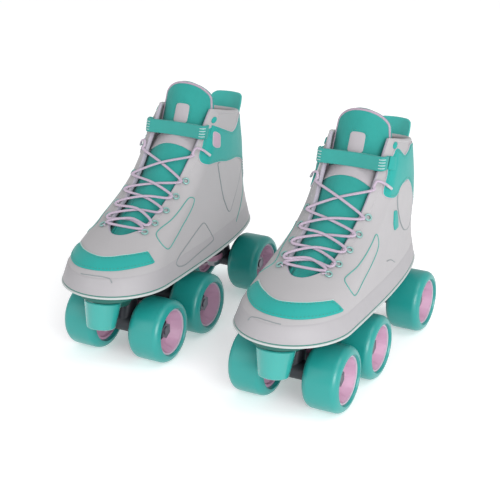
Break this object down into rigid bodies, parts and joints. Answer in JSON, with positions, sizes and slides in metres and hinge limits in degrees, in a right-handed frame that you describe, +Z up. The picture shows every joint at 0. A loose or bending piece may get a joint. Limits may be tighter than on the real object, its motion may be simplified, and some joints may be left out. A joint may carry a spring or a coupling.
{
  "type": "roller skates",
  "caption": "Pair of high-top roller skates: laced boots with tongue, strap and heel tab on plates, with sprung trucks in a row, wheels in pairs and toe stops.",
  "frame": {"origin": "on the floor under the middle of the pair's bounding box", "axes": "+Z up, -Y the way the toes point, +X towards the left skate's outer side"},
  "size_m": [0.2828, 0.284, 0.227],
  "materials": {
    "upper_fabric": "pale warm grey synthetic leather with sewn panels, matt",
    "tongue_fabric": "padded teal woven fabric",
    "teal_webbing": "dense teal webbing, slight sheen",
    "lace": "flat woven lilac lace",
    "ring_metal": "painted wire loops, satin",
    "footbed_foam": "dark textile over foam",
    "sole_rubber": "pale moulded rubber, satin",
    "plate_nylon": "dark moulded nylon, fine texture",
    "truck_metal": "dark painted casting",
    "zinc_steel": "zinc plated steel",
    "cushion_urethane": "pink urethane",
    "stop_urethane": "glossy teal urethane",
    "wheel_urethane": "smooth teal urethane, semi gloss",
    "hub_nylon": "pink moulded nylon core"
  },
  "bodies": {
    "left_boot": {"left_upper": "upper_fabric", "left_tongue": "tongue_fabric", "left_heel_tab": "teal_webbing", "left_laces": "lace", "left_lace_rings": "ring_metal", "left_footbed": "footbed_foam", "left_outsole": "sole_rubber", "left_plate": "plate_nylon", "left_fasteners": "zinc_steel", "left_cushions": "cushion_urethane"},
    "left_strap": {"left_strap": "teal_webbing"},
    "left_toe_stop": {"left_toe_stop": "stop_urethane"},
    "left_front_truck": {"left_front_truck": "truck_metal", "left_front_axle": "zinc_steel"},
    "left_front_inner_wheel": {"left_front_inner_tyre": "wheel_urethane", "left_front_inner_hub": "hub_nylon"},
    "left_front_outer_wheel": {"left_front_outer_tyre": "wheel_urethane", "left_front_outer_hub": "hub_nylon"},
    "left_middle_truck": {"left_middle_truck": "truck_metal", "left_middle_axle": "zinc_steel"},
    "left_middle_inner_wheel": {"left_middle_inner_tyre": "wheel_urethane", "left_middle_inner_hub": "hub_nylon"},
    "left_middle_outer_wheel": {"left_middle_outer_tyre": "wheel_urethane", "left_middle_outer_hub": "hub_nylon"},
    "left_rear_truck": {"left_rear_truck": "truck_metal", "left_rear_axle": "zinc_steel"},
    "left_rear_inner_wheel": {"left_rear_inner_tyre": "wheel_urethane", "left_rear_inner_hub": "hub_nylon"},
    "left_rear_outer_wheel": {"left_rear_outer_tyre": "wheel_urethane", "left_rear_outer_hub": "hub_nylon"},
    "right_boot": {"right_upper": "upper_fabric", "right_tongue": "tongue_fabric", "right_heel_tab": "teal_webbing", "right_laces": "lace", "right_lace_rings": "ring_metal", "right_footbed": "footbed_foam", "right_outsole": "sole_rubber", "right_plate": "plate_nylon", "right_fasteners": "zinc_steel", "right_cushions": "cushion_urethane"},
    "right_strap": {"right_strap": "teal_webbing"},
    "right_toe_stop": {"right_toe_stop": "stop_urethane"},
    "right_front_truck": {"right_front_truck": "truck_metal", "right_front_axle": "zinc_steel"},
    "right_front_inner_wheel": {"right_front_inner_tyre": "wheel_urethane", "right_front_inner_hub": "hub_nylon"},
    "right_front_outer_wheel": {"right_front_outer_tyre": "wheel_urethane", "right_front_outer_hub": "hub_nylon"},
    "right_middle_truck": {"right_middle_truck": "truck_metal", "right_middle_axle": "zinc_steel"},
    "right_middle_inner_wheel": {"right_middle_inner_tyre": "wheel_urethane", "right_middle_inner_hub": "hub_nylon"},
    "right_middle_outer_wheel": {"right_middle_outer_tyre": "wheel_urethane", "right_middle_outer_hub": "hub_nylon"},
    "right_rear_truck": {"right_rear_truck": "truck_metal", "right_rear_axle": "zinc_steel"},
    "right_rear_inner_wheel": {"right_rear_inner_tyre": "wheel_urethane", "right_rear_inner_hub": "hub_nylon"},
    "right_rear_outer_wheel": {"right_rear_outer_tyre": "wheel_urethane", "right_rear_outer_hub": "hub_nylon"}
  },
  "joints": [
    {"name": "left_strap_open", "type": "hinge", "parent": "left_boot", "child": "left_strap", "pos_m": [0.0606, 0.01899, 0.187], "axis": [0, 0, -1], "range_deg": [0, 100]},
    {"name": "left_toe_stop_height", "type": "slide", "parent": "left_boot", "child": "left_toe_stop", "axis": [0, -0.2079, -0.9781], "range_m": [0, 0.005]},
    {"name": "left_front_steer", "type": "hinge", "parent": "left_boot", "child": "left_front_truck", "pos_m": [0.0892, -0.06141, 0.047], "axis": [0, -0.9659, 0.2588], "range_deg": [-8, 8], "stiffness_Nm_per_rad": 20, "deforming": ["left_cushions"]},
    {"name": "left_front_inner_spin", "type": "hinge", "parent": "left_front_truck", "child": "left_front_inner_wheel", "pos_m": [0.0547, -0.08541, 0.029], "axis": [1, 0, 0], "continuous": true},
    {"name": "left_front_outer_spin", "type": "hinge", "parent": "left_front_truck", "child": "left_front_outer_wheel", "pos_m": [0.1237, -0.08541, 0.029], "axis": [1, 0, 0], "continuous": true},
    {"name": "left_middle_steer", "type": "hinge", "parent": "left_boot", "child": "left_middle_truck", "pos_m": [0.0892, 0.00829, 0.047], "axis": [0, -0.9659, 0.2588], "range_deg": [-8, 8], "stiffness_Nm_per_rad": 20, "deforming": ["left_cushions"]},
    {"name": "left_middle_inner_spin", "type": "hinge", "parent": "left_middle_truck", "child": "left_middle_inner_wheel", "pos_m": [0.0547, -0.01571, 0.029], "axis": [1, 0, 0], "continuous": true},
    {"name": "left_middle_outer_spin", "type": "hinge", "parent": "left_middle_truck", "child": "left_middle_outer_wheel", "pos_m": [0.1237, -0.01571, 0.029], "axis": [1, 0, 0], "continuous": true},
    {"name": "left_rear_steer", "type": "hinge", "parent": "left_boot", "child": "left_rear_truck", "pos_m": [0.0892, 0.07539, 0.047], "axis": [0, 0.9659, 0.2588], "range_deg": [-8, 8], "stiffness_Nm_per_rad": 20, "deforming": ["left_cushions"]},
    {"name": "left_rear_inner_spin", "type": "hinge", "parent": "left_rear_truck", "child": "left_rear_inner_wheel", "pos_m": [0.0547, 0.09939, 0.029], "axis": [1, 0, 0], "continuous": true},
    {"name": "left_rear_outer_spin", "type": "hinge", "parent": "left_rear_truck", "child": "left_rear_outer_wheel", "pos_m": [0.1237, 0.09939, 0.029], "axis": [1, 0, 0], "continuous": true},
    {"name": "pair_stagger", "type": "slide", "parent": "left_boot", "child": "right_boot", "axis": [0, 1, 0], "range_m": [-0.1, 0.1]},
    {"name": "right_strap_open", "type": "hinge", "parent": "right_boot", "child": "right_strap", "pos_m": [-0.0606, 0.03259, 0.187], "axis": [0, 0, 1], "range_deg": [0, 100]},
    {"name": "right_toe_stop_height", "type": "slide", "parent": "right_boot", "child": "right_toe_stop", "axis": [0, -0.2079, -0.9781], "range_m": [0, 0.005]},
    {"name": "right_front_steer", "type": "hinge", "parent": "right_boot", "child": "right_front_truck", "pos_m": [-0.0892, -0.04781, 0.047], "axis": [0, -0.9659, 0.2588], "range_deg": [-8, 8], "stiffness_Nm_per_rad": 20, "deforming": ["right_cushions"]},
    {"name": "right_front_inner_spin", "type": "hinge", "parent": "right_front_truck", "child": "right_front_inner_wheel", "pos_m": [-0.0547, -0.07181, 0.029], "axis": [1, 0, 0], "continuous": true},
    {"name": "right_front_outer_spin", "type": "hinge", "parent": "right_front_truck", "child": "right_front_outer_wheel", "pos_m": [-0.1237, -0.07181, 0.029], "axis": [1, 0, 0], "continuous": true},
    {"name": "right_middle_steer", "type": "hinge", "parent": "right_boot", "child": "right_middle_truck", "pos_m": [-0.0892, 0.02189, 0.047], "axis": [0, -0.9659, 0.2588], "range_deg": [-8, 8], "stiffness_Nm_per_rad": 20, "deforming": ["right_cushions"]},
    {"name": "right_middle_inner_spin", "type": "hinge", "parent": "right_middle_truck", "child": "right_middle_inner_wheel", "pos_m": [-0.0547, -0.00211, 0.029], "axis": [1, 0, 0], "continuous": true},
    {"name": "right_middle_outer_spin", "type": "hinge", "parent": "right_middle_truck", "child": "right_middle_outer_wheel", "pos_m": [-0.1237, -0.00211, 0.029], "axis": [1, 0, 0], "continuous": true},
    {"name": "right_rear_steer", "type": "hinge", "parent": "right_boot", "child": "right_rear_truck", "pos_m": [-0.0892, 0.08899, 0.047], "axis": [0, 0.9659, 0.2588], "range_deg": [-8, 8], "stiffness_Nm_per_rad": 20, "deforming": ["right_cushions"]},
    {"name": "right_rear_inner_spin", "type": "hinge", "parent": "right_rear_truck", "child": "right_rear_inner_wheel", "pos_m": [-0.0547, 0.11299, 0.029], "axis": [1, 0, 0], "continuous": true},
    {"name": "right_rear_outer_spin", "type": "hinge", "parent": "right_rear_truck", "child": "right_rear_outer_wheel", "pos_m": [-0.1237, 0.11299, 0.029], "axis": [1, 0, 0], "continuous": true}
  ]
}
